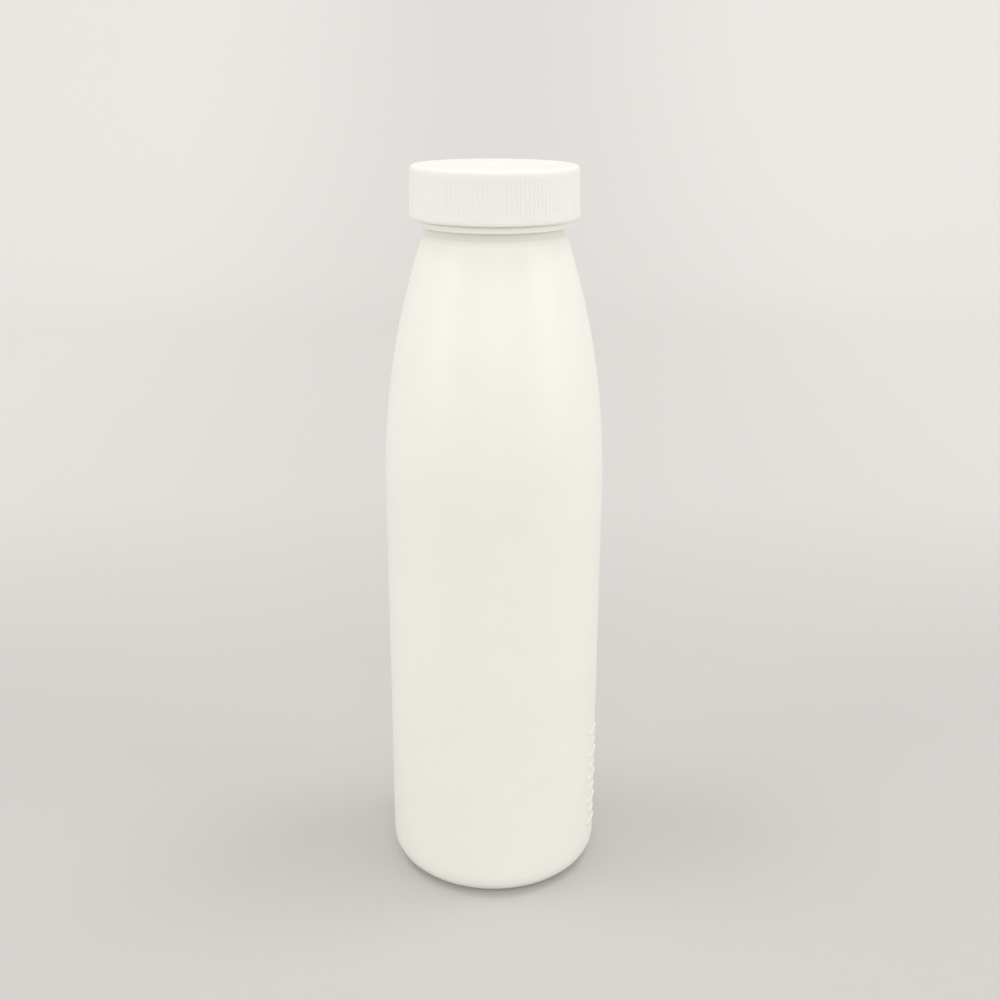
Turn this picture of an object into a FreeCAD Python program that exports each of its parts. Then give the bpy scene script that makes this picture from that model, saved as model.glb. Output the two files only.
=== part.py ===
"""A tall round plastic bottle with a finely ribbed screw cap.

The bottle is one moulded piece: flat foot with a shallow push-up, rounded heel, straight cylinder,
long arched shoulder that ends in a small ledge, short neck with a bead, and the plain neck finish
that the cap covers.
The cap is a tapered cup with vertical finger ribs. It rests on the rim of the neck.
The origin is the centre of the foot, +Z runs up the bottle's axis, and sizes are in millimetres.
"""
import FreeCAD, Part
import math
import os

import Sketcher

# Driving dimensions: alias, value, meaning.
SIZES = [
    ("body_diameter", 56.0, "outer diameter of the straight cylinder"),
    ("straight_height", 108.2, "foot to the start of the shoulder"),
    ("heel_radius", 5.8, "rounded edge between foot and cylinder"),
    ("foot_inner_diameter", 37.0, "diameter where the flat foot ring meets the push-up"),
    ("foot_inner_round", 1.2, "rounding of the foot ring's inner edge"),
    ("push_up_height", 2.8, "height of the concave push-up at the axis"),
    ("shoulder_rise", 61.4, "height of the arched shoulder"),
    ("neck_diameter", 34.4, "outer diameter of the neck, below the bead and inside the cap"),
    ("ledge_width", 0.6, "how much the small ledge at the top of the shoulder steps in"),
    ("ledge_height", 0.65, "height of that sloping ledge"),
    ("neck_height", 2.45, "top of the ledge to the underside of the bead"),
    ("neck_blend_radius", 1.0, "blend between ledge and neck"),
    ("bead_overhang", 1.7, "how far the bead stands out from the neck"),
    ("bead_height", 1.55, "thickness of the bead"),
    ("bead_bevel", 0.4, "bevel of the bead's outer edges"),
    ("finish_height", 11.15, "top of the bead to the rim that the cap rests on"),
    ("cap_clearance", 0.3, "gap between the bead and the foot of the cap"),
    ("thread_clearance", 1.6, "gap between neck and cap where the thread runs"),
    ("skirt_wall", 1.95, "wall of the cap at its open end"),
    ("skirt_taper", 0.35, "how much smaller the cap's radius is at its top"),
    ("crown_thickness", 1.6, "thickness of the cap's flat top"),
    ("crown_edge_radius", 1.1, "rounding of the cap's top edge"),
    ("skirt_edge_radius", 0.8, "rounding of the cap's lower edge"),
    ("rib_count", 120, "number of finger ribs round the cap"),
    ("rib_depth", 0.26, "depth of the groove between two ribs"),
    ("groove_width", 0.66, "width of that groove at the cap's surface"),
    ("lower_lip", 1.7, "plain band below the ribs"),
    ("upper_band", 2.2, "plain band above the ribs, with the rounded edge"),
]
size = {alias: value for alias, value, meaning in SIZES}

doc = FreeCAD.newDocument("medicine_bottle")


def fill_sheet():
    """Put the driving dimensions into a spreadsheet, one named cell each."""
    sheet = doc.addObject("Spreadsheet::Sheet", "sizes")
    for row, (alias, value, meaning) in enumerate(SIZES, start=1):
        sheet.set(f"A{row}", alias)
        sheet.set(f"B{row}", str(value))
        sheet.setAlias(f"B{row}", alias)
        sheet.set(f"C{row}", meaning)
    doc.recompute()


def new_body(name):
    """Start a sub-part; its label also names its file."""
    body = doc.addObject("PartDesign::Body", name)
    body.Label = name
    return body


def new_sketch(body, name, plane):
    """Add an empty sketch on one of the body's own origin planes."""
    sketch = body.newObject("Sketcher::SketchObject", name)
    support = [item for item in body.Origin.OriginFeatures if item.Role == plane][0]
    sketch.AttachmentSupport = [(support, "")]
    sketch.MapMode = "FlatFace"
    return sketch


def arc_through(start, end, centre):
    """The circular arc from start to end, anticlockwise about its centre."""
    radius = (start - centre).Length
    first = math.atan2(start.y - centre.y, start.x - centre.x)
    last = math.atan2(end.y - centre.y, end.x - centre.x)
    circle = Part.Circle(centre, FreeCAD.Vector(0, 0, 1), radius)
    return Part.ArcOfCircle(circle, first, last)


def draw_outline(sketch, corners, arc_centres=None, tangent_joints=()):
    """Draw a closed outline, anticlockwise: segment i runs from corner i to the next one.

    A segment is a line unless it has an arc centre. A joint, named by the corner's number, is
    tangent or a plain corner, and lines along the sketch's axes are held horizontal or vertical.
    """
    arc_centres = arc_centres or {}
    points = [FreeCAD.Vector(across, up, 0) for across, up in corners]
    for index, start in enumerate(points):
        end = points[(index + 1) % len(points)]
        if index in arc_centres:
            centre = FreeCAD.Vector(*arc_centres[index], 0)
            sketch.addGeometry(arc_through(start, end, centre), False)
            continue
        sketch.addGeometry(Part.LineSegment(start, end), False)
        if start.x == end.x:
            sketch.addConstraint(Sketcher.Constraint("Vertical", index))
        if start.y == end.y:
            sketch.addConstraint(Sketcher.Constraint("Horizontal", index))
    for index in range(len(points)):
        before = (index - 1) % len(points)
        joint = "Tangent" if index in tangent_joints else "Coincident"
        sketch.addConstraint(Sketcher.Constraint(joint, before, 2, index, 1))


def hold(sketch, direction, first, second, name, formula):
    """Hold the distance between two points, across (X) or up (Y), at a formula of the sheet."""
    gap = sketch.getPoint(*second) - sketch.getPoint(*first)
    value = gap.x if direction == "X" else gap.y
    constraint = Sketcher.Constraint("Distance" + direction, *first, *second, value)
    index = sketch.addConstraint(constraint)
    sketch.renameConstraint(index, name)
    sketch.setExpression(f"Constraints.{name}", formula)


def revolve(body, kind, name, sketch):
    """Turn a sketch once round the body's axis, to add (Revolution) or to cut (Groove)."""
    feature = body.newObject("PartDesign::" + kind, name)
    feature.Profile = sketch
    feature.ReferenceAxis = (sketch, ["V_Axis"])
    feature.Angle = 360
    doc.recompute()
    return feature


def find_circle(feature, radius, height):
    """Names of the feature's circular edges of this radius at this height on the axis."""
    centre = FreeCAD.Vector(0, 0, height)
    found = []
    for number, edge in enumerate(feature.Shape.Edges, start=1):
        if edge.Degenerated or not isinstance(edge.Curve, Part.Circle):
            continue
        same_place = (edge.Curve.Center - centre).Length < 1e-4
        if same_place and abs(edge.Curve.Radius - radius) < 1e-4:
            found.append(f"Edge{number}")
    if not found:
        raise RuntimeError(f"{feature.Label} has no edge of radius {radius} at height {height}")
    return found


def round_edge(body, name, circle, alias):
    """Fillet the circular edge at the given (radius, height) of the body's last feature."""
    base = body.Tip
    fillet = body.newObject("PartDesign::Fillet", name)
    fillet.Base = (base, find_circle(base, *circle))
    fillet.Radius = size[alias]
    fillet.setExpression("Radius", f"sizes.{alias}")
    doc.recompute()


def bevel_edge(body, name, circle, alias):
    """Chamfer the circular edge at the given (radius, height) of the body's last feature."""
    base = body.Tip
    chamfer = body.newObject("PartDesign::Chamfer", name)
    chamfer.Base = (base, find_circle(base, *circle))
    chamfer.Size = size[alias]
    chamfer.setExpression("Size", f"sizes.{alias}")
    doc.recompute()


def require_cut(feature, volume_before):
    """Stop if a cutting feature took nothing away."""
    if feature.Shape.Volume > volume_before - 1e-3:
        raise RuntimeError(f"{feature.Label} cuts nothing")


def make_bottle():
    """The moulded bottle, closed and filled: everything below the cap, and the neck inside it."""
    body = new_body("bottle")
    origin = (-1, 1)
    body_radius = size["body_diameter"] / 2
    neck_radius = size["neck_diameter"] / 2
    bead_radius = neck_radius + size["bead_overhang"]
    shoulder_base = size["straight_height"]
    shoulder_top = shoulder_base + size["shoulder_rise"]
    neck_base = shoulder_top + size["ledge_height"]
    bead_base = neck_base + size["neck_height"]
    bead_top = bead_base + size["bead_height"]
    rim = bead_top + size["finish_height"]

    # The shoulder is one arc, tangent to the cylinder, that ends at the small ledge under the neck.
    ledge_radius = neck_radius + size["ledge_width"]
    inset = body_radius - ledge_radius
    shoulder_radius = (inset ** 2 + size["shoulder_rise"] ** 2) / (2 * inset)
    outline = new_sketch(body, "bottle_outline", "XZ_Plane")
    corners = [
        (0, 0),
        (body_radius, 0),
        (body_radius, shoulder_base),
        (ledge_radius, shoulder_top),
        (neck_radius, neck_base),
        (neck_radius, bead_base),
        (bead_radius, bead_base),
        (bead_radius, bead_top),
        (neck_radius, bead_top),
        (neck_radius, rim),
        (0, rim),
    ]
    shoulder_centre = (body_radius - shoulder_radius, shoulder_base)
    draw_outline(outline, corners, arc_centres={2: shoulder_centre}, tangent_joints=(2,))
    outline.addConstraint(Sketcher.Constraint("Coincident", 0, 1, *origin))
    hold(outline, "X", origin, (1, 1), "body_radius", "sizes.body_diameter / 2")
    hold(outline, "Y", (1, 1), (1, 2), "straight", "sizes.straight_height")
    hold(outline, "Y", (1, 2), (3, 1), "rise", "sizes.shoulder_rise")
    hold(outline, "X", (4, 1), (3, 1), "ledge_step", "sizes.ledge_width")
    hold(outline, "Y", (3, 1), (4, 1), "ledge", "sizes.ledge_height")
    hold(outline, "X", origin, (4, 1), "neck_radius", "sizes.neck_diameter / 2")
    hold(outline, "Y", (4, 1), (5, 1), "neck", "sizes.neck_height")
    hold(outline, "X", (5, 1), (6, 1), "overhang", "sizes.bead_overhang")
    hold(outline, "Y", (6, 1), (7, 1), "bead", "sizes.bead_height")
    hold(outline, "X", origin, (8, 1), "finish_radius", "sizes.neck_diameter / 2")
    hold(outline, "Y", (8, 1), (9, 1), "finish", "sizes.finish_height")
    revolve(body, "Revolution", "bottle_blank", outline)

    # The push-up is a shallow dome with its centre on the axis, cut up into the foot.
    foot_inner = size["foot_inner_diameter"] / 2
    dome_height = size["push_up_height"]
    dome_radius = (foot_inner ** 2 + dome_height ** 2) / (2 * dome_height)
    dome = new_sketch(body, "push_up_outline", "XZ_Plane")
    dome_centre = (0, dome_height - dome_radius)
    draw_outline(dome, [(0, 0), (foot_inner, 0), (0, dome_height)], arc_centres={1: dome_centre})
    dome.addConstraint(Sketcher.Constraint("Coincident", 0, 1, *origin))
    dome.addConstraint(Sketcher.Constraint("PointOnObject", 1, 3, -2))
    hold(dome, "X", origin, (1, 1), "foot_inner", "sizes.foot_inner_diameter / 2")
    hold(dome, "Y", origin, (2, 1), "dome_height", "sizes.push_up_height")
    solid_volume = body.Tip.Shape.Volume
    push_up = revolve(body, "Groove", "push_up", dome)
    require_cut(push_up, solid_volume)

    round_edge(body, "heel", (body_radius, 0), "heel_radius")
    round_edge(body, "foot_inner_edge", (foot_inner, 0), "foot_inner_round")
    round_edge(body, "neck_blend", (neck_radius, neck_base), "neck_blend_radius")
    bevel_edge(body, "bead_lower_edge", (bead_radius, bead_base), "bead_bevel")
    bevel_edge(body, "bead_upper_edge", (bead_radius, bead_top), "bead_bevel")
    return body


def make_cap():
    """The screw cap, drawn from the seat: height 0 is the rim of the neck that it rests on."""
    body = new_body("cap")
    origin = (-1, 1)
    bore_radius = size["neck_diameter"] / 2 + size["thread_clearance"]
    skirt_radius = bore_radius + size["skirt_wall"]
    crown_radius = skirt_radius - size["skirt_taper"]
    skirt_depth = size["finish_height"] - size["cap_clearance"]
    cap_height = skirt_depth + size["crown_thickness"]

    outline = new_sketch(body, "cap_outline", "XZ_Plane")
    corners = [
        (0, 0),
        (bore_radius, 0),
        (bore_radius, -skirt_depth),
        (skirt_radius, -skirt_depth),
        (crown_radius, size["crown_thickness"]),
        (0, size["crown_thickness"]),
    ]
    draw_outline(outline, corners)
    outline.addConstraint(Sketcher.Constraint("Coincident", 0, 1, *origin))
    bore_formula = "sizes.neck_diameter / 2 + sizes.thread_clearance"
    depth_formula = "(sizes.finish_height - sizes.cap_clearance)"
    hold(outline, "X", origin, (1, 1), "bore_radius", bore_formula)
    hold(outline, "Y", (2, 1), (1, 1), "skirt_depth", depth_formula)
    hold(outline, "X", (2, 1), (3, 1), "skirt_wall", "sizes.skirt_wall")
    hold(outline, "X", (4, 1), (3, 1), "skirt_taper", "sizes.skirt_taper")
    hold(outline, "Y", origin, (4, 1), "crown", "sizes.crown_thickness")
    revolve(body, "Revolution", "cap_blank", outline)
    round_edge(body, "crown_edge", (crown_radius, size["crown_thickness"]), "crown_edge_radius")
    round_edge(body, "skirt_edge", (skirt_radius, -skirt_depth), "skirt_edge_radius")

    # One groove follows the tapered side, from the lower lip to the upper band.
    groove_start = size["lower_lip"] - skirt_depth
    groove_end = size["crown_thickness"] - size["upper_band"]
    taper = size["skirt_taper"] / cap_height
    start_radius = skirt_radius - taper * size["lower_lip"]
    end_radius = skirt_radius - taper * (cap_height - size["upper_band"])
    line = new_sketch(body, "groove_line", "XZ_Plane")
    foot = FreeCAD.Vector(start_radius, groove_start, 0)
    head = FreeCAD.Vector(end_radius, groove_end, 0)
    line.addGeometry(Part.LineSegment(foot, head), False)
    side_formula = f"{bore_formula} + sizes.skirt_wall - sizes.skirt_taper"
    height_formula = f"({depth_formula} + sizes.crown_thickness)"
    start_formula = f"{side_formula} * sizes.lower_lip / {height_formula}"
    end_formula = f"{side_formula} * (1 - sizes.upper_band / {height_formula})"
    hold(line, "X", origin, (0, 1), "start_radius", start_formula)
    hold(line, "X", origin, (0, 2), "end_radius", end_formula)
    hold(line, "Y", (0, 1), origin, "start_depth", f"{depth_formula} - sizes.lower_lip")
    hold(line, "Y", (0, 2), origin, "end_depth", "sizes.upper_band - sizes.crown_thickness")

    # Its section is a notch whose two flanks run on past the surface by half their depth.
    section = new_sketch(body, "groove_section", "XY_Plane")
    section.AttachmentOffset = FreeCAD.Placement(FreeCAD.Vector(0, 0, groove_start), FreeCAD.Rotation())
    section.setExpression(".AttachmentOffset.Base.z", "-groove_line.Constraints.start_depth")
    root = start_radius - size["rib_depth"]
    mouth = start_radius + size["rib_depth"] / 2
    half_mouth = size["groove_width"] / 2 * 1.5
    draw_outline(section, [(root, 0), (mouth, -half_mouth), (mouth, half_mouth)])
    section.addConstraint(Sketcher.Constraint("PointOnObject", 0, 1, -1))
    hold(section, "X", origin, (0, 1), "root", f"{start_formula} - sizes.rib_depth")
    hold(section, "X", (0, 1), (1, 1), "reach", "sizes.rib_depth * 1.5")
    hold(section, "Y", (1, 1), origin, "right_flank", "sizes.groove_width / 2 * 1.5")
    hold(section, "Y", origin, (2, 1), "left_flank", "sizes.groove_width / 2 * 1.5")

    plain_volume = body.Tip.Shape.Volume
    groove = body.newObject("PartDesign::SubtractivePipe", "groove")
    groove.Profile = section
    groove.Spine = (line, ["Edge1"])
    doc.recompute()
    require_cut(groove, plain_volume)

    one_groove_volume = groove.Shape.Volume
    ribs = body.newObject("PartDesign::PolarPattern", "ribs")
    ribs.Originals = [groove]
    ribs.Axis = (outline, ["V_Axis"])
    ribs.Angle = 360
    ribs.Occurrences = size["rib_count"]
    ribs.setExpression("Occurrences", "sizes.rib_count")
    body.Tip = ribs
    doc.recompute()
    require_cut(ribs, one_groove_volume)

    body.setExpression(
        ".Placement.Base.z",
        "sizes.straight_height + sizes.shoulder_rise + sizes.ledge_height"
        " + sizes.neck_height + sizes.bead_height + sizes.finish_height",
    )
    return body


def check_and_export(sub_parts):
    """Write each sub-part's file once every object of the document is sound."""
    doc.recompute()
    for item in doc.Objects:
        if "Invalid" in item.State or "Error" in item.State:
            raise RuntimeError(f"{item.Label} failed: {item.State}")
    for body in sub_parts:
        shape = body.Shape
        if shape.isNull() or not shape.isValid() or len(shape.Solids) != 1:
            raise RuntimeError(f"{body.Label} is not one valid solid")
    os.makedirs("parts", exist_ok=True)
    for body in sub_parts:
        body.Shape.exportStep(f"parts/{body.Label}.step")
        box = body.Shape.BoundBox
        print(f"{body.Label}: {body.Shape.Volume:.1f} mm3, z {box.ZMin:.2f} to {box.ZMax:.2f}")


fill_sheet()
check_and_export([make_bottle(), make_cap()])
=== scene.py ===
"""A milky white plastic bottle with a finely ribbed screw cap, standing on a pale studio sweep."""
import math

import bmesh
import bpy
from mathutils import Matrix, Vector, noise


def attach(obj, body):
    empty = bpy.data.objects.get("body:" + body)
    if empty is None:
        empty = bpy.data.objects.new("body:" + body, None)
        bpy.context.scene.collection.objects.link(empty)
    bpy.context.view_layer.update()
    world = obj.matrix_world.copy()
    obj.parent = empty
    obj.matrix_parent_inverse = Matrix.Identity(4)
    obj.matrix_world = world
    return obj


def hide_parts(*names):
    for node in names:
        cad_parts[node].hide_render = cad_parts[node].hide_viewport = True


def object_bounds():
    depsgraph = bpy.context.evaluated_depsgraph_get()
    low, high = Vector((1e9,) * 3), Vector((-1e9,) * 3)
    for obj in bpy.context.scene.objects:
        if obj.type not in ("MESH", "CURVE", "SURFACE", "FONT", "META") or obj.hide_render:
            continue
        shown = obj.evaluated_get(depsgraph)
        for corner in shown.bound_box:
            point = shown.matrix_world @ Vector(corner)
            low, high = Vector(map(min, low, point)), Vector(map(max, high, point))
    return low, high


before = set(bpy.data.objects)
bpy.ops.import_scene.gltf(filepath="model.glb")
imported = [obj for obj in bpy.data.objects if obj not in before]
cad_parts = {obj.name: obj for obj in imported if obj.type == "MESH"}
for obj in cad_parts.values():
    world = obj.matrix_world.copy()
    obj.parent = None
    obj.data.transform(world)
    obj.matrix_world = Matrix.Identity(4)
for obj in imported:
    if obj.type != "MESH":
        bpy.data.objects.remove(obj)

scene = bpy.context.scene
cad_low, cad_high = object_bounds()

# --- Camera -------------------------------------------------------------------------------
# A phone-like view from in front of the bottle and a little above its cap, looking down on it.
# It is turned and tipped by a fraction of a degree, as a camera held by hand is.
CAMERA_DISTANCE = 0.3153
CAMERA_HEIGHT = 0.2094
CAMERA_PITCH = math.radians(18.787)
CAMERA_YAW = math.radians(0.278)
CAMERA_ROLL = math.radians(0.178)
CAMERA_LENS = 46.02
CAMERA_SENSOR = 36.0
CAMERA_NEAREST = 0.01

camera = bpy.data.objects.new("camera", bpy.data.cameras.new("camera"))
scene.collection.objects.link(camera)
camera.data.lens = CAMERA_LENS
camera.data.sensor_width = CAMERA_SENSOR
camera.data.clip_start = CAMERA_NEAREST
aim = Matrix.Rotation(-CAMERA_YAW, 4, "Z") @ Matrix.Rotation(math.pi / 2 - CAMERA_PITCH, 4, "X")
camera.matrix_world = (Matrix.Translation((0.0, -CAMERA_DISTANCE, CAMERA_HEIGHT))
                       @ aim @ Matrix.Rotation(CAMERA_ROLL, 4, "Z"))
scene.camera = camera

# --- Studio sweep -------------------------------------------------------------------------
# A sheet of matt pale grey paper: level under the bottle, then curved up into the backdrop.
# The paper's colour holds painted light and shade: it is painted lighter towards its top and its two sides,
# and darkest on the floor at and in front of the bottle. It is very faintly uneven.
SWEEP_FRONT = -2.2
SWEEP_BEND_START = 0.75
SWEEP_BEND_RADIUS = 0.9
SWEEP_BEND_STEPS = 32
SWEEP_TOP = 3.0
SWEEP_HALF_WIDTH = 2.3
# The tones lie along the depth behind the bottle, each at its share of TONE_DEPTH. The middle's
# pass into the sides' over TONE_HALF_WIDTH.
TONE_DEPTH = 2.0
TONE_HALF_WIDTH = 0.38
NEAR_PAINTED_SHADE = (0.584, 0.578, 0.562)
MIDDLE_PAINTED_LIGHT = [(0.0, NEAR_PAINTED_SHADE), (0.06, (0.588, 0.584, 0.567)), (0.15, (0.650, 0.645, 0.628)),
                (0.45, (0.688, 0.682, 0.665)), (0.75, (0.690, 0.683, 0.667))]
SIDE_PAINTED_LIGHT = [(0.0, NEAR_PAINTED_SHADE), (0.06, (0.606, 0.601, 0.584)), (0.15, (0.704, 0.699, 0.680)),
              (0.45, (0.764, 0.757, 0.738)), (0.75, (0.772, 0.765, 0.745))]


def new_material(name):
    """A node material with its shader ready to be set."""
    material = bpy.data.materials.new(name)
    material.use_nodes = True
    return material, material.node_tree, material.node_tree.nodes["Principled BSDF"]


def object_place(tree):
    """Where a point of the surface is on its object, in metres."""
    return tree.nodes.new("ShaderNodeTexCoord").outputs["Object"]


def add_noise(tree, place, scale, detail):
    """A noise pattern of so many waves to the metre."""
    node = tree.nodes.new("ShaderNodeTexNoise")
    node.inputs["Scale"].default_value = scale
    node.inputs["Detail"].default_value = detail
    tree.links.new(place, node.inputs["Vector"])
    return node.outputs["Fac"]


def add_ramp(tree, factor, stops):
    """Colours laid along a factor: a list of (position, rgb)."""
    ramp = tree.nodes.new("ShaderNodeValToRGB")
    elements = ramp.color_ramp.elements
    for element in list(elements)[1:]:
        elements.remove(element)
    elements[0].position = stops[0][0]
    elements[0].color = (*stops[0][1], 1.0)
    for position, rgb in stops[1:]:
        elements.new(position).color = (*rgb, 1.0)
    tree.links.new(factor, ramp.inputs["Fac"])
    return ramp.outputs["Color"]


def add_bump(tree, shader, height, distance, strength):
    """Let a height pattern tilt the surface, after any bump that is there already."""
    node = tree.nodes.new("ShaderNodeBump")
    node.inputs["Strength"].default_value = strength
    node.inputs["Distance"].default_value = distance
    tree.links.new(height, node.inputs["Height"])
    if shader.inputs["Normal"].is_linked:
        tree.links.new(shader.inputs["Normal"].links[0].from_socket, node.inputs["Normal"])
    tree.links.new(node.outputs["Normal"], shader.inputs["Normal"])


def new_piece(name, shape):
    """Turn a finished bmesh into a smooth-shaded object of the scene."""
    mesh = bpy.data.meshes.new(name)
    shape.to_mesh(mesh)
    shape.free()
    for polygon in mesh.polygons:
        polygon.use_smooth = True
    piece = bpy.data.objects.new(name, mesh)
    scene.collection.objects.link(piece)
    return piece


def arc_points(centre, radius, start, end, steps):
    """Points on a round stretch of a profile; angles in radians from straight outwards."""
    turn = (end - start) / steps
    angles = [start + turn * step for step in range(steps + 1)]
    return [(centre[0] + radius * math.cos(angle), centre[1] + radius * math.sin(angle))
            for angle in angles]


def only_verts(parts):
    """The vertices among the parts that an operator gives back."""
    return [part for part in parts if isinstance(part, bmesh.types.BMVert)]


sweep = bmesh.new()
bend_centre = (SWEEP_BEND_START, SWEEP_BEND_RADIUS)
sweep_line = [(SWEEP_FRONT, 0.0)]
sweep_line += arc_points(bend_centre, SWEEP_BEND_RADIUS, -math.pi / 2, 0.0, SWEEP_BEND_STEPS)
sweep_line += [(SWEEP_BEND_START + SWEEP_BEND_RADIUS, SWEEP_TOP)]
row = [sweep.verts.new((-SWEEP_HALF_WIDTH, y, z)) for y, z in sweep_line]
edges = [sweep.edges.new(pair) for pair in zip(row, row[1:])]
side = bmesh.ops.extrude_edge_only(sweep, edges=edges)["geom"]
bmesh.ops.translate(sweep, verts=only_verts(side), vec=(2 * SWEEP_HALF_WIDTH, 0.0, 0.0))
bmesh.ops.recalc_face_normals(sweep, faces=sweep.faces)
backdrop = new_piece("backdrop", sweep)
paper, tree, shader = new_material("pale_paper")
place = object_place(tree)
split = tree.nodes.new("ShaderNodeSeparateXYZ")
tree.links.new(place, split.inputs["Vector"])
depth = tree.nodes.new("ShaderNodeMath")
depth.operation = "MULTIPLY"
depth.inputs[1].default_value = 1.0 / TONE_DEPTH
tree.links.new(split.outputs["Y"], depth.inputs[0])
aside = tree.nodes.new("ShaderNodeMath")
aside.operation = "ABSOLUTE"
tree.links.new(split.outputs["X"], aside.inputs[0])
# Painted light and shade: the paper is painted lighter behind the bottle and towards its sides.
middle_painted_light = add_ramp(tree, depth.outputs["Value"], MIDDLE_PAINTED_LIGHT)
side_painted_light = add_ramp(tree, depth.outputs["Value"], SIDE_PAINTED_LIGHT)
share = tree.nodes.new("ShaderNodeMapRange")
share.interpolation_type = "SMOOTHSTEP"
share.inputs["From Min"].default_value = 0.0
share.inputs["From Max"].default_value = TONE_HALF_WIDTH
tree.links.new(aside.outputs["Value"], share.inputs["Value"])
tone = tree.nodes.new("ShaderNodeMix")
tone.data_type = "RGBA"
tree.links.new(share.outputs["Result"], tone.inputs["Factor"])
tree.links.new(middle_painted_light, tone.inputs["A"])
tree.links.new(side_painted_light, tone.inputs["B"])
tree.links.new(tone.outputs["Result"], shader.inputs["Base Color"])
shader.inputs["Roughness"].default_value = 0.9
shader.inputs["Specular IOR Level"].default_value = 0.15
paper_grain = add_noise(tree, place, scale=700.0, detail=4.0)
add_bump(tree, shader, paper_grain, distance=0.0001, strength=0.25)
backdrop.data.materials.append(paper)

# --- Lights -------------------------------------------------------------------------------
# Two ceiling panels, the right one a little stronger, light the bottle from above. Three broader
# panels and a pale even room fill in from both sides and from the front.
# Each panel's name, place, size, power in watts and colour:
PANELS = [
    ("ceiling_right", (0.62, 0.12, 1.75), 0.45, 4.55, (0.98, 0.975, 0.97)),
    ("ceiling_left", (-0.62, 0.0, 1.75), 0.45, 3.8, (0.965, 0.985, 0.965)),
    ("fill_right", (2.55, -1.10, 0.87), 1.3, 12.4, (1.0, 0.975, 0.965)),
    ("fill_left", (-2.55, -1.28, 0.87), 1.3, 11.2, (0.985, 1.0, 0.96)),
    ("front_fill", (0.1, -2.4, 1.3), 1.6, 6.6, (1.0, 0.99, 0.97)),
]
ROOM_COLOR = (1.0, 0.99, 0.975, 1.0)
ROOM_STRENGTH = 0.83

bottle_middle = Vector((0.0, 0.0, cad_high[2] / 2))


def add_panel(name, place, size, power, color):
    """A square soft light, aimed at the middle of the bottle."""
    light = bpy.data.lights.new(name, "AREA")
    light.shape = "SQUARE"
    light.size = size
    light.energy = power
    light.color = color
    panel = bpy.data.objects.new(name, light)
    turn = (bottle_middle - Vector(place)).to_track_quat("-Z", "Y").to_matrix().to_4x4()
    panel.matrix_world = Matrix.Translation(place) @ turn
    scene.collection.objects.link(panel)


for panel_values in PANELS:
    add_panel(*panel_values)
world = bpy.data.worlds.new("room")
scene.world = world
world.use_nodes = True
room = world.node_tree.nodes["Background"]
room.inputs["Color"].default_value = ROOM_COLOR
room.inputs["Strength"].default_value = ROOM_STRENGTH

# --- Bottle -------------------------------------------------------------------------------
# Blow-moulded in milky polyethylene, in one piece: foot, cylinder, arched shoulder with a small
# ledge, neck and bead. A fine parting line of the mould runs up both its sides. The wall lies a
# hair inside that of the CAD bottle, so that this line fits.
CAD_BODY_RADIUS = 0.0280
PARTING_HEIGHT = 0.00006
PARTING_HALF_WIDTH = 0.00012
PARTING_SPARE = 0.00002
PARTING_START = 0.0012
PARTING_FADE_IN = 0.004
PARTING_FADE_OUT = 0.003
BODY_RADIUS = CAD_BODY_RADIUS - PARTING_HEIGHT - PARTING_SPARE
HEEL_RADIUS = 0.0058
FOOT_INNER_RADIUS = 0.0185
FOOT_INNER_ROUND = 0.0012
FOOT_MIDDLE_RADIUS = 0.0206
PUSH_UP_HEIGHT = 0.0028
STRAIGHT_HEIGHT = 0.1082
SHOULDER_RISE = 0.0614
LEDGE_WIDTH = 0.0006
LEDGE_HEIGHT = 0.00065
LEDGE_ROUND = 0.0007
NECK_RADIUS = 0.0172
NECK_HEIGHT = 0.00245
NECK_BASE_ROUND = 0.0009
NECK_WALL_START = 0.0008
NECK_TOP_ROUND = 0.0004
BEAD_OVERHANG = 0.0017
BEAD_HEIGHT = 0.00155
BEAD_ROUND = 0.0004
FINISH_HEIGHT = 0.01115
DOME_STEPS = 12
WALL_STEPS = 44
SHOULDER_STEPS = 34
PARTING_SECTOR = math.radians(1.0)
PARTING_STEPS = 8
HALF_TURN_STEPS = 116
MERGE_DISTANCE = 1e-6
SURFACE_TOLERANCE = 1e-5
# The wall is very slightly wavy, as blown walls are.
WAVE_DEPTH = 0.00003
WAVES_PER_METRE = 45.0
WAVE_STRETCH = 0.6
MILKY_TONES = [(0.30, (0.885, 0.875, 0.815)), (0.70, (0.905, 0.890, 0.838))]
# Painted shade under the bead: the neck's darkening, each at its share of the height from just below the
# neck to the bead's top.
NECK_SHADE_START = 0.0001
NECK_PAINTED_SHADE = [(0.0, (1.0, 1.0, 1.0)), (0.17, (0.885, 0.885, 0.87)), (0.58, (0.875, 0.875, 0.86)),
              (0.63, (1.0, 1.0, 1.0))]


def rounded_outline(corners, steps=5):
    """Points along an outline of (radius, height, rounding) corners."""
    points = []
    for index, (radius, height, rounding) in enumerate(corners):
        corner = Vector((radius, height))
        if rounding == 0.0:
            points.append((radius, height))
            continue
        back = (Vector(corners[index - 1][:2]) - corner).normalized()
        ahead = (Vector(corners[index + 1][:2]) - corner).normalized()
        half_angle = back.angle(ahead) / 2
        reach = rounding / math.tan(half_angle)
        centre = corner + (back + ahead).normalized() * rounding / math.sin(half_angle)
        first = corner + back * reach - centre
        last = corner + ahead * reach - centre
        start = math.atan2(first.y, first.x)
        turn = (math.atan2(last.y, last.x) - start + math.pi) % (2 * math.pi) - math.pi
        points += arc_points(centre, rounding, start, start + turn, steps)
    return points


def between(start, end, steps):
    """Plain corners evenly spaced between two points, without either of them."""
    corners = []
    for step in range(1, steps):
        radius = start[0] + (end[0] - start[0]) * step / steps
        height = start[1] + (end[1] - start[1]) * step / steps
        corners.append((radius, height, 0.0))
    return corners


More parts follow.
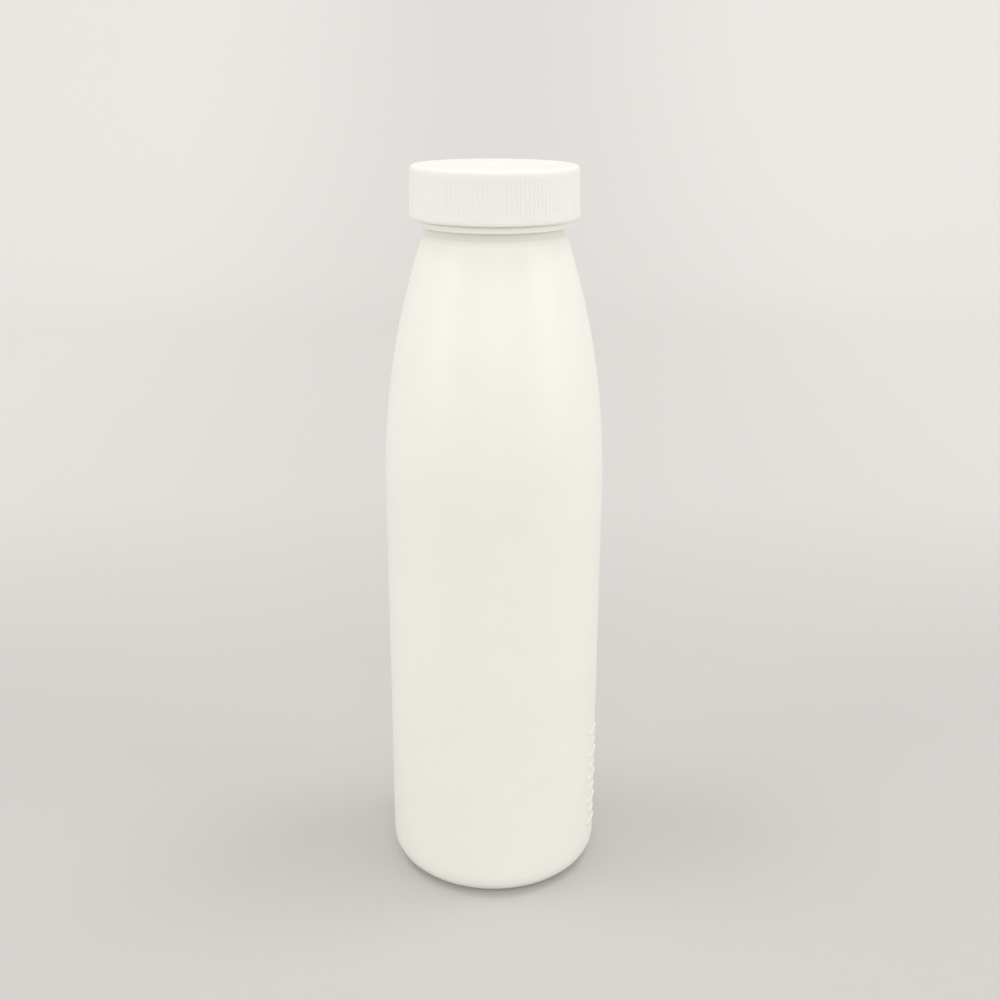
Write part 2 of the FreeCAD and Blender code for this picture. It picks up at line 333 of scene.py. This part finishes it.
def spin_outline(shape, outline, sectors, repeats):
    """Turn a (radius, height) outline round the vertical axis, through sectors of (angle, steps).

    The turned part is then repeated round the axis, as often as each number of repeats says.
    """
    row = [shape.verts.new((radius, 0.0, height)) for radius, height in outline]
    front = row + [shape.edges.new(pair) for pair in zip(row, row[1:])]
    for angle, steps in sectors:
        turned = bmesh.ops.spin(shape, geom=front, cent=(0, 0, 0), axis=(0, 0, 1),
                                angle=angle, steps=steps)
        front = turned["geom_last"]
    part_angle = sum(angle for angle, steps in sectors)
    for count in repeats:
        part = shape.verts[:] + shape.edges[:] + shape.faces[:]
        bmesh.ops.spin(shape, geom=part, cent=(0, 0, 0), axis=(0, 0, 1),
                       angle=part_angle * (count - 1), steps=count - 1, use_duplicate=True)
        part_angle *= count
    bmesh.ops.remove_doubles(shape, verts=shape.verts, dist=MERGE_DISTANCE)
    bmesh.ops.recalc_face_normals(shape, faces=shape.faces)


ledge_radius = NECK_RADIUS + LEDGE_WIDTH
shoulder_top = STRAIGHT_HEIGHT + SHOULDER_RISE
neck_base = shoulder_top + LEDGE_HEIGHT
bead_base = neck_base + NECK_HEIGHT
bead_top = bead_base + BEAD_HEIGHT
bead_radius = NECK_RADIUS + BEAD_OVERHANG
rim_height = bead_top + FINISH_HEIGHT
dome_radius = (FOOT_INNER_RADIUS ** 2 + PUSH_UP_HEIGHT ** 2) / (2 * PUSH_UP_HEIGHT)
dome_half_angle = math.asin(FOOT_INNER_RADIUS / dome_radius)
inset = BODY_RADIUS - ledge_radius
shoulder_radius = (inset ** 2 + SHOULDER_RISE ** 2) / (2 * inset)
shoulder_angle = math.asin(SHOULDER_RISE / shoulder_radius)
dome_line = arc_points((0.0, PUSH_UP_HEIGHT - dome_radius), dome_radius,
                       math.pi / 2, math.pi / 2 - dome_half_angle, DOME_STEPS)
shoulder_line = arc_points((BODY_RADIUS - shoulder_radius, STRAIGHT_HEIGHT), shoulder_radius,
                           0.0, shoulder_angle, SHOULDER_STEPS)

bottle_corners = [(*point, 0.0) for point in dome_line[:-1]]
bottle_corners += [(FOOT_INNER_RADIUS, 0.0, FOOT_INNER_ROUND), (FOOT_MIDDLE_RADIUS, 0.0, 0.0)]
bottle_corners += [(BODY_RADIUS, 0.0, HEEL_RADIUS)]
bottle_corners += between((BODY_RADIUS, HEEL_RADIUS), (BODY_RADIUS, STRAIGHT_HEIGHT), WALL_STEPS)
bottle_corners += [(*point, 0.0) for point in shoulder_line[:-1]]
bottle_corners += [(ledge_radius, shoulder_top, LEDGE_ROUND), (NECK_RADIUS, neck_base, NECK_BASE_ROUND)]
bottle_corners += [(NECK_RADIUS, neck_base + NECK_WALL_START, 0.0), (NECK_RADIUS, bead_base, NECK_TOP_ROUND)]
bottle_corners += [(bead_radius, bead_base, BEAD_ROUND), (bead_radius, bead_top, BEAD_ROUND / 2)]
bottle_corners += [(NECK_RADIUS, bead_top, 0.0), (NECK_RADIUS, rim_height, 0.0), (0.0, rim_height, 0.0)]
bottle_outline = rounded_outline(bottle_corners)

bottle_shape = bmesh.new()
half_turn = [(PARTING_SECTOR, PARTING_STEPS), (math.pi - 2 * PARTING_SECTOR, HALF_TURN_STEPS),
             (PARTING_SECTOR, PARTING_STEPS)]
spin_outline(bottle_shape, bottle_outline, half_turn, [2])
for vert in bottle_shape.verts:
    radius = math.hypot(vert.co.x, vert.co.y)
    above_foot = vert.co.z - PARTING_START
    if radius < NECK_RADIUS - SURFACE_TOLERANCE or vert.co.z > bead_base or vert.co.z < PARTING_START:
        continue
    line = PARTING_HEIGHT * math.exp(-(vert.co.y / PARTING_HALF_WIDTH) ** 2)
    fade = min(1.0, above_foot / PARTING_FADE_IN, (bead_base - vert.co.z) / PARTING_FADE_OUT)
    wave = noise.noise(Vector((vert.co.x, vert.co.y, vert.co.z * WAVE_STRETCH)) * WAVES_PER_METRE)
    shift = fade * (line + WAVE_DEPTH * (wave - 1.0))
    vert.co.x += vert.co.x / radius * shift
    vert.co.y += vert.co.y / radius * shift
bottle = new_piece("bottle_shell", bottle_shape)


def add_range(tree, factor, low, high):
    """Spread a factor's middle half over a range of values."""
    node = tree.nodes.new("ShaderNodeMapRange")
    node.inputs["From Min"].default_value = 0.25
    node.inputs["From Max"].default_value = 0.75
    node.inputs["To Min"].default_value = low
    node.inputs["To Max"].default_value = high
    tree.links.new(factor, node.inputs["Value"])
    return node.outputs["Result"]


def make_milky_plastic():
    """Milky polyethylene: satin, faintly cloudy, with the fine grain of a blasted mould.

    The neck under the bead is painted a little darker, as painted shade.
    """
    milky, tree, shader = new_material("milky_polyethylene")
    place = object_place(tree)
    color = add_ramp(tree, add_noise(tree, place, scale=26.0, detail=3.0), MILKY_TONES)
    split = tree.nodes.new("ShaderNodeSeparateXYZ")
    tree.links.new(place, split.inputs["Vector"])
    # Painted shade: the neck is darkened under the bead, by height.
    level = tree.nodes.new("ShaderNodeMapRange")
    level.inputs["From Min"].default_value = neck_base - NECK_SHADE_START
    level.inputs["From Max"].default_value = bead_top
    tree.links.new(split.outputs["Z"], level.inputs["Value"])
    painted_neck_shade = add_ramp(tree, level.outputs["Result"], NECK_PAINTED_SHADE)
    shaded = tree.nodes.new("ShaderNodeMix")
    shaded.data_type = "RGBA"
    shaded.blend_type = "MULTIPLY"
    shaded.inputs["Factor"].default_value = 1.0
    tree.links.new(color, shaded.inputs["A"])
    tree.links.new(painted_neck_shade, shaded.inputs["B"])
    tree.links.new(shaded.outputs["Result"], shader.inputs["Base Color"])
    satin = add_range(tree, add_noise(tree, place, scale=160.0, detail=4.0), low=0.36, high=0.44)
    tree.links.new(satin, shader.inputs["Roughness"])
    shader.inputs["IOR"].default_value = 1.54
    shader.inputs["Subsurface Weight"].default_value = 0.35
    shader.inputs["Subsurface Radius"].default_value = (1.0, 0.9, 0.7)
    shader.inputs["Subsurface Scale"].default_value = 0.0015
    add_bump(tree, shader, add_noise(tree, place, scale=55.0, detail=1.0), distance=0.0004, strength=0.5)
    mould_grain = add_noise(tree, place, scale=2600.0, detail=2.0)
    add_bump(tree, shader, mould_grain, distance=0.00002, strength=0.5)
    return milky


milky = make_milky_plastic()
bottle.data.materials.append(milky)
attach(bottle, "root")
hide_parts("bottle")

# --- Level marks --------------------------------------------------------------------------
# Plain raised bars up the bottle's right side, above the heel: moulded with the wall, long and
# short in turn, like the marks of a level gauge.
MARK_AZIMUTH = math.radians(-16.0)
MARK_LOW = 0.0115
MARK_STEP = 0.0035
MARK_COUNT = 9
MARK_LONG = 0.0072
MARK_SHORT = 0.0042
MARK_HALF_HEIGHT = 0.00045
MARK_RISE = 0.00035
MARK_ROOT = 0.00015
MARK_END = 0.0007
MARK_TIP = 0.02
MARK_STEPS = 40
BAR_STEPS = 8
BAR_FULLNESS = 0.7


def mark_length(number):
    """Long and short bars in turn."""
    return MARK_LONG if number % 2 == 0 else MARK_SHORT


def bar_section():
    """Points (across, up) over a bar with a full, rounded section, as shares of its size."""
    angles = [math.pi * step / BAR_STEPS for step in range(BAR_STEPS + 1)]
    return [(math.cos(angle), max(0.0, math.sin(angle)) ** BAR_FULLNESS) for angle in angles]


def add_mark(shape, height, length):
    """One raised bar along the wall, rooted a little way inside it."""
    half_angle = length / 2 / BODY_RADIUS
    ring = []
    for across, up in bar_section():
        radius = BODY_RADIUS - MARK_ROOT + (MARK_RISE + MARK_ROOT) * up
        ring.append(shape.verts.new((radius, 0.0, height + MARK_HALF_HEIGHT * across)))
    start = Matrix.Rotation(MARK_AZIMUTH - half_angle, 3, "Z")
    bmesh.ops.rotate(shape, verts=ring, cent=(0, 0, 0), matrix=start)
    loop = ring + shape.faces.new(ring).edges[:]
    turned = bmesh.ops.spin(shape, geom=loop, cent=(0, 0, 0), axis=(0, 0, 1),
                            angle=2 * half_angle, steps=MARK_STEPS)
    bmesh.ops.contextual_create(shape, geom=only_verts(turned["geom_last"]))


marks_shape = bmesh.new()
for number in range(MARK_COUNT):
    add_mark(marks_shape, MARK_LOW + MARK_STEP * number, mark_length(number))
for vert in marks_shape.verts:
    # The last stretch of each bar sinks into the wall in a round end, though not to a point.
    number = round((vert.co.z - MARK_LOW) / MARK_STEP)
    height = MARK_LOW + MARK_STEP * number
    radius = math.hypot(vert.co.x, vert.co.y)
    along = abs(math.atan2(vert.co.y, vert.co.x) - MARK_AZIMUTH) * BODY_RADIUS
    past = max(0.0, along - (mark_length(number) / 2 - MARK_END)) / MARK_END
    keep = math.sqrt(max(MARK_TIP, 1.0 - past ** 2))
    root = BODY_RADIUS - MARK_ROOT
    sunk = (root + (radius - root) * keep) / radius
    vert.co = (vert.co.x * sunk, vert.co.y * sunk, height + (vert.co.z - height) * keep)
bmesh.ops.recalc_face_normals(marks_shape, faces=marks_shape.faces)
marks = new_piece("level_marks", marks_shape)
marks.data.materials.append(milky)
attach(marks, "root")

# --- Base finish --------------------------------------------------------------------------
# Under the bottle, moulded with it: the ridge that the mould's two halves leave where they pinch
# the tube shut, and three small plain pips. All of it stands in the push-up, clear of the table.
RIDGE_HALF_LENGTH = 0.0130
RIDGE_HALF_WIDTH = 0.00045
RIDGE_RISE = 0.00035
RIDGE_ROOT = 0.0001
RIDGE_STEPS = 32
PIP_RADIUS = 0.0006
PIP_FLATNESS = 0.5
PIP_SPACING = 0.0042
PIP_OFFSET = 0.0095

dome_centre = Vector((0.0, 0.0, PUSH_UP_HEIGHT - dome_radius))
ridge_half_angle = RIDGE_HALF_LENGTH / dome_radius
base_shape = bmesh.new()
ring = []
for across, up in bar_section():
    rise = (RIDGE_RISE + RIDGE_ROOT) * up - RIDGE_ROOT
    place = Vector((0.0, RIDGE_HALF_WIDTH * across, dome_radius - rise))
    ring.append(base_shape.verts.new(dome_centre + place))
start = Matrix.Rotation(-ridge_half_angle, 3, "Y")
bmesh.ops.rotate(base_shape, verts=ring, cent=dome_centre, matrix=start)
loop = ring + base_shape.faces.new(ring).edges[:]
turned = bmesh.ops.spin(base_shape, geom=loop, cent=dome_centre, axis=(0, 1, 0),
                        angle=2 * ridge_half_angle, steps=RIDGE_STEPS)
bmesh.ops.contextual_create(base_shape, geom=only_verts(turned["geom_last"]))
for number in (-1, 0, 1):
    x = number * PIP_SPACING
    height = dome_centre.z + math.sqrt(dome_radius ** 2 - x ** 2 - PIP_OFFSET ** 2)
    flatten = Matrix.Diagonal((1.0, 1.0, PIP_FLATNESS, 1.0))
    bmesh.ops.create_icosphere(base_shape, subdivisions=3, radius=PIP_RADIUS,
                               matrix=Matrix.Translation((x, PIP_OFFSET, height)) @ flatten)
bmesh.ops.recalc_face_normals(base_shape, faces=base_shape.faces)
base_finish = new_piece("base_finish", base_shape)
base_finish.data.materials.append(milky)
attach(base_finish, "root")

# --- Cap ----------------------------------------------------------------------------------
# Injection-moulded in white polypropylene: a tapered cup with fine finger ribs between two
# plain bands, and the small mark of the gate in the middle of its top. It rests on the rim.
RIB_REPEATS = [10, 12]
RIB_COUNT = math.prod(RIB_REPEATS)
STEPS_PER_RIB = 12
RIB_DEPTH = 0.00013
RIB_RUN_OUT = 0.0006
RIB_SHARPNESS = 1.6
THREAD_CLEARANCE = 0.0016
SKIRT_WALL = 0.00195
BORE_RADIUS = NECK_RADIUS + THREAD_CLEARANCE
BORE_EDGE_RADIUS = 0.0002
SKIRT_RADIUS = BORE_RADIUS + SKIRT_WALL
SKIRT_INSIDE = 0.0008
SKIRT_TAPER = 0.00035
CROWN_THICKNESS = 0.0016
CAP_CLEARANCE = 0.00015
CROWN_EDGE_RADIUS = 0.0011
SKIRT_EDGE_RADIUS = 0.0008
LOWER_LIP = 0.0017
UPPER_BAND = 0.0022
SIDE_STEPS = 26
EDGE_STEPS = 3
CROWN_STEPS = 8
CORNER_STEPS = 6
GATE_RADIUS = 0.0016
GATE_DEPTH = 0.00018
GATE_SLOPE = 0.0003
GATE_ROUND = 0.0002
NIB_FOOT_RADIUS = 0.0005
NIB_TOP_RADIUS = 0.0004
NIB_EDGE_DEPTH = 0.00004
NIB_TOP_DEPTH = 0.00002
CAP_TONES = [(0.30, (0.878, 0.871, 0.824)), (0.70, (0.890, 0.883, 0.838))]

cap_base = bead_top + CAP_CLEARANCE
cap_top = rim_height + CROWN_THICKNESS
crown_radius = SKIRT_RADIUS - SKIRT_TAPER
gate_floor = cap_top - GATE_DEPTH
cap_side = between((SKIRT_RADIUS, cap_base), (crown_radius, cap_top), SIDE_STEPS)
cap_crown = between((crown_radius, cap_top), (0.0, cap_top), CROWN_STEPS)
cap_corners = [(0.0, rim_height, 0.0), (BORE_RADIUS, rim_height, 0.0)]
cap_corners += [(BORE_RADIUS, cap_base, BORE_EDGE_RADIUS), (SKIRT_RADIUS, cap_base, SKIRT_EDGE_RADIUS)]
cap_corners += cap_side[EDGE_STEPS:-EDGE_STEPS]
cap_corners += [(crown_radius, cap_top, CROWN_EDGE_RADIUS)]
cap_corners += cap_crown[:-1]
cap_corners += [(GATE_RADIUS, cap_top, GATE_ROUND), (GATE_RADIUS - GATE_SLOPE, gate_floor, GATE_ROUND)]
cap_corners += [(NIB_FOOT_RADIUS, gate_floor, 0.0), (NIB_TOP_RADIUS, cap_top - NIB_EDGE_DEPTH, 0.0)]
cap_corners += [(0.0, cap_top - NIB_TOP_DEPTH, 0.0)]
cap_outline = rounded_outline(cap_corners, CORNER_STEPS)
rib_low = cap_base + LOWER_LIP
rib_high = cap_top - UPPER_BAND


def rib_cut(angle, height):
    """How deep the side is cut between two ribs at this place."""
    fade = min(height - rib_low, rib_high - height) / RIB_RUN_OUT
    notch = (0.5 - 0.5 * math.cos(RIB_COUNT * angle)) ** RIB_SHARPNESS
    return RIB_DEPTH * notch * max(0.0, min(1.0, fade))


cap_shape = bmesh.new()
spin_outline(cap_shape, cap_outline, [(2 * math.pi / RIB_COUNT, STEPS_PER_RIB)], RIB_REPEATS)
for vert in cap_shape.verts:
    # Only the cap's outer side is ribbed, not its bore.
    radius = math.hypot(vert.co.x, vert.co.y)
    if radius > BORE_RADIUS + SKIRT_INSIDE:
        keep = 1.0 - rib_cut(math.atan2(vert.co.y, vert.co.x), vert.co.z) / radius
        vert.co.x *= keep
        vert.co.y *= keep
cap = new_piece("screw_cap", cap_shape)


def make_white_plastic():
    """White polypropylene: satin, a little rougher and less cloudy than the bottle."""
    white, tree, shader = new_material("white_polypropylene")
    place = object_place(tree)
    color = add_ramp(tree, add_noise(tree, place, scale=60.0, detail=2.0), CAP_TONES)
    tree.links.new(color, shader.inputs["Base Color"])
    satin = add_range(tree, add_noise(tree, place, scale=240.0, detail=4.0), low=0.44, high=0.52)
    tree.links.new(satin, shader.inputs["Roughness"])
    shader.inputs["IOR"].default_value = 1.49
    shader.inputs["Specular IOR Level"].default_value = 0.4
    shader.inputs["Subsurface Weight"].default_value = 0.25
    shader.inputs["Subsurface Radius"].default_value = (1.0, 0.96, 0.88)
    shader.inputs["Subsurface Scale"].default_value = 0.0012
    mould_grain = add_noise(tree, place, scale=1800.0, detail=3.0)
    add_bump(tree, shader, mould_grain, distance=0.00002, strength=0.4)
    return white


cap.data.materials.append(make_white_plastic())
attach(cap, "root")
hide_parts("cap")

# --- Colour view --------------------------------------------------------------------------
# The colours are shown as they are.
scene.view_settings.view_transform = "Standard"
